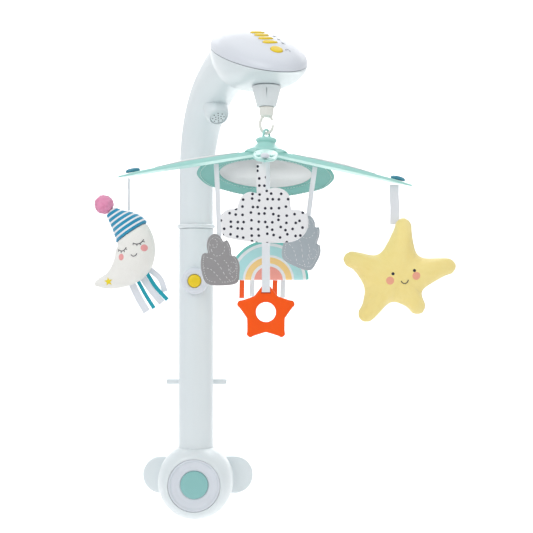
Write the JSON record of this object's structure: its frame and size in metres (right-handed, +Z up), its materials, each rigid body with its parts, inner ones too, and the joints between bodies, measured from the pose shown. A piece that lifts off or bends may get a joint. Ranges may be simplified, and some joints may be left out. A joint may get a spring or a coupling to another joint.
{
  "type": "crib mobile",
  "caption": "Clamp-on crib mobile: hollow post and curved arm with a geared music head, hooked to a turning canopy of leaf arms and a round mirror that carries ribbon-hung soft toys",
  "frame": {"origin": "centre of the flat underside of the rail rest, the face that sits on top of the crib rail", "axes": "+Z up along the post, -Y from the rail into the crib, +X to the right seen from inside the crib"},
  "size_m": [0.3915, 0.4942, 0.62],
  "materials": {
    "white": "satin",
    "lid": "satin",
    "cream": "satin",
    "teal": "gloss",
    "teal_cap": "satin",
    "yellow": "satin",
    "rubber": "matte",
    "steel": "satin",
    "inner": "matte",
    "board": "matte",
    "gear": "matte",
    "knob": "gloss",
    "panel": "matte",
    "rim": "felt",
    "mirror": "polished",
    "ribbon": "woven",
    "moon": "velour",
    "hat": "jersey",
    "star": "plush",
    "cloud": "cotton",
    "grey": "felt",
    "rainbow": "cotton",
    "orange": "satin"
  },
  "bodies": {
    "post": {"lower_post": "white", "clamp_housing": "white", "clamp_back_plate": "white", "clamp_dish": "lid", "clamp_cap": "teal_cap", "clamp_screw": "steel", "front_jaw_pad": "rubber", "rail_rest": "white", "release_bezel": "lid"},
    "jaw": {"rear_jaw": "white"},
    "nut": {"wing_nut": "white"},
    "release": {"release_button": "yellow"},
    "spigot": {"arm_spigot": "white"},
    "arm": {"arm_shell_front": "white", "arm_shell_back": "white", "battery_pack": "steel", "sensor_pod": "white", "sensor_grille": "white", "head_bowl": "white", "head_lid": "lid", "circuit_board": "board", "speaker": "inner", "motor": "steel", "gearbox_plate": "inner"},
    "power": {"power_button": "yellow"},
    "petal_1": {"petal_button_1": "yellow"},
    "petal_2": {"petal_button_2": "yellow"},
    "petal_3": {"petal_button_3": "yellow"},
    "petal_4": {"petal_button_4": "yellow"},
    "output": {"output_gear": "gear", "spindle_cup": "lid", "hook": "cream"},
    "idler": {"idler_gear": "gear"},
    "pinion": {"motor_pinion": "gear"},
    "canopy": {"canopy_frame": "teal", "leaf_panel_left": "panel", "leaf_panel_right": "panel", "leaf_panel_front": "panel", "ribbon_knob_left": "knob", "ribbon_knob_right": "knob", "ribbon_knob_front": "lid", "mirror_rim": "rim", "mirror": "mirror"},
    "moon": {"moon_ribbon": "ribbon", "moon_plush": "moon", "moon_hat": "hat", "moon_tassels": "ribbon"},
    "star": {"star_ribbon": "ribbon", "star_plush": "star"},
    "dotted": {"dotted_cloud": "cloud", "dotted_ribbon": "ribbon"},
    "rainbow": {"rainbow_ribbon": "ribbon", "rainbow_cushion": "rainbow", "rainbow_tassels": "orange"},
    "grey_left": {"grey_cloud_left": "grey", "grey_ribbon_left": "ribbon"},
    "grey_right": {"grey_cloud_right": "grey", "grey_ribbon_right": "ribbon"},
    "teether": {"teether_ribbon": "ribbon", "teether_star": "orange"}
  },
  "joints": [
    {"name": "jaw_travel", "type": "slide", "parent": "post", "child": "jaw", "axis": [0, 1, 0], "range_m": [0, 0.035]},
    {"name": "nut_spin", "type": "hinge", "parent": "jaw", "child": "nut", "pos_m": [0, -0.038, -0.13], "axis": [0, 1, 0], "range_deg": [0, 2520]},
    {"name": "release_press", "type": "slide", "parent": "post", "child": "release", "axis": [0, 1, 0], "range_m": [0, 0.003], "stiffness_N_per_m": 800, "springref_m": -0.002},
    {"name": "arm_lift", "type": "slide", "parent": "post", "child": "spigot", "axis": [0, 0, 1], "range_m": [0, 0.07]},
    {"name": "arm_swivel", "type": "hinge", "parent": "spigot", "child": "arm", "pos_m": [0, -0.038, 0], "axis": [0, 0, 1], "range_deg": [-110, 70]},
    {"name": "power_press", "type": "slide", "parent": "arm", "child": "power", "axis": [-0.0846, 0.422, -0.9027], "range_m": [0, 0.0012], "stiffness_N_per_m": 300, "springref_m": -0.0006},
    {"name": "petal_1_press", "type": "slide", "parent": "arm", "child": "petal_1", "axis": [-0.0846, 0.422, -0.9027], "range_m": [0, 0.0012], "stiffness_N_per_m": 300, "springref_m": -0.0006},
    {"name": "petal_2_press", "type": "slide", "parent": "arm", "child": "petal_2", "axis": [-0.0846, 0.422, -0.9027], "range_m": [0, 0.0012], "stiffness_N_per_m": 300, "springref_m": -0.0006},
    {"name": "petal_3_press", "type": "slide", "parent": "arm", "child": "petal_3", "axis": [-0.0846, 0.422, -0.9027], "range_m": [0, 0.0012], "stiffness_N_per_m": 300, "springref_m": -0.0006},
    {"name": "petal_4_press", "type": "slide", "parent": "arm", "child": "petal_4", "axis": [-0.0846, 0.422, -0.9027], "range_m": [0, 0.0012], "stiffness_N_per_m": 300, "springref_m": -0.0006},
    {"name": "canopy_spin", "type": "hinge", "parent": "arm", "child": "output", "pos_m": [0.09604, -0.2882, 0.369], "axis": [0, 0, 1], "continuous": true},
    {"name": "idler_turn", "type": "hinge", "parent": "arm", "child": "idler", "pos_m": [0.08888, -0.26953, 0], "axis": [0, 0, 1], "continuous": true},
    {"name": "pinion_turn", "type": "hinge", "parent": "arm", "child": "pinion", "pos_m": [0.08278, -0.25366, 0], "axis": [0, 0, 1], "continuous": true},
    {"name": "canopy_sway", "type": "hinge", "parent": "output", "child": "canopy", "pos_m": [0.09604, -0.2882, 0.3017], "axis": [0, 1, 0], "range_deg": [-10, 10]},
    {"name": "moon_swing", "type": "hinge", "parent": "canopy", "child": "moon", "pos_m": [-0.05441, -0.2882, 0.25499], "axis": [1, 0, 0], "range_deg": [-15, 15]},
    {"name": "star_swing", "type": "hinge", "parent": "canopy", "child": "star", "pos_m": [0.23551, -0.2882, 0.24793], "axis": [1, 0, 0], "range_deg": [-15, 15]},
    {"name": "dotted_swing", "type": "hinge", "parent": "canopy", "child": "dotted", "pos_m": [0.09105, -0.4332, 0.25143], "axis": [0, 1, 0], "range_deg": [-15, 15]},
    {"name": "rainbow_swing", "type": "hinge", "parent": "canopy", "child": "rainbow", "pos_m": [0.09454, -0.12191, 0.25104], "axis": [0, 1, 0], "range_deg": [-10, 10]},
    {"name": "grey_left_swing", "type": "hinge", "parent": "canopy", "child": "grey_left", "pos_m": [0.04109, -0.2882, 0.27049], "axis": [1, 0, 0], "range_deg": [-15, 15]},
    {"name": "grey_right_swing", "type": "hinge", "parent": "canopy", "child": "grey_right", "pos_m": [0.14905, -0.2882, 0.26729], "axis": [1, 0, 0], "range_deg": [-15, 15]},
    {"name": "teether_swing", "type": "hinge", "parent": "canopy", "child": "teether", "pos_m": [0.09538, -0.2942, 0.27931], "axis": [1, 0, 0], "range_deg": [-15, 15]}
  ],
  "couplings": [
    {"joint": "nut_spin", "follows": "jaw_travel", "rad_per_m": 1256.6},
    {"joint": "idler_turn", "follows": "canopy_spin", "ratio": -3},
    {"joint": "pinion_turn", "follows": "canopy_spin", "ratio": 7.2}
  ]
}
